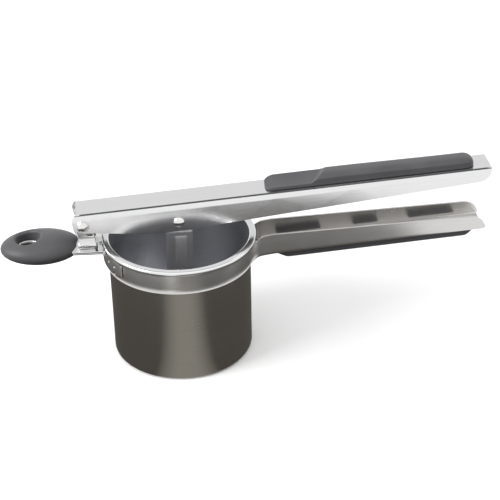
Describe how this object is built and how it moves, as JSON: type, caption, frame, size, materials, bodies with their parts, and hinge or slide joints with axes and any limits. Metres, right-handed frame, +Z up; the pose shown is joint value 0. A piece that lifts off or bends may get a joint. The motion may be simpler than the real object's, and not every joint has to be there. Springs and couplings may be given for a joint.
{
  "type": "potato ricer",
  "caption": "Stainless steel potato ricer: a perforated hopper with a plunger pressed down by a hinged lever over a fixed lower handle, with soft grips and a hanging knob.",
  "frame": {"origin": "centre of the hopper's underside, on the solid spot in the middle of its perforated base", "axes": "+Z up along the hopper's axis, +X along the handles away from the hinge, +Y across the handles"},
  "size_m": [0.2791, 0.0886, 0.1129],
  "materials": {
    "brushed_steel": "brushed round the hopper and along the handle",
    "lever_steel": "fine brushed, nearly polished on the top plate",
    "polished_steel": "polished",
    "soft_rubber": "soft matte, dark grey"
  },
  "bodies": {
    "base": {"hopper": "brushed_steel", "lower_handle": "brushed_steel", "lower_grip": "soft_rubber", "hinge_bracket": "polished_steel", "hanging_knob": "soft_rubber", "hinge_sleeve": "polished_steel"},
    "lever": {"lever_channel": "lever_steel", "upper_grip": "soft_rubber", "hinge_rivet": "polished_steel", "hinge_washer_near": "polished_steel", "hinge_washer_far": "polished_steel", "plunger_pin": "polished_steel"},
    "plunger": {"plunger_stem": "brushed_steel", "press_plate": "brushed_steel", "plate_rivet_1": "polished_steel", "plate_rivet_2": "polished_steel"}
  },
  "joints": [
    {"name": "lever_hinge", "type": "hinge", "parent": "base", "child": "lever", "pos_m": [-0.0536, 0, 0.0871], "axis": [0, -1, 0], "range_deg": [0, 65]},
    {"name": "plunger_swing", "type": "hinge", "parent": "base", "child": "plunger", "pos_m": [-0.1403, 0, 0.0335], "axis": [0, -1, 0], "range_deg": [0, 22.5]}
  ],
  "couplings": [
    {"joint": "plunger_swing", "follows": "lever_hinge", "ratio": 0.343}
  ]
}
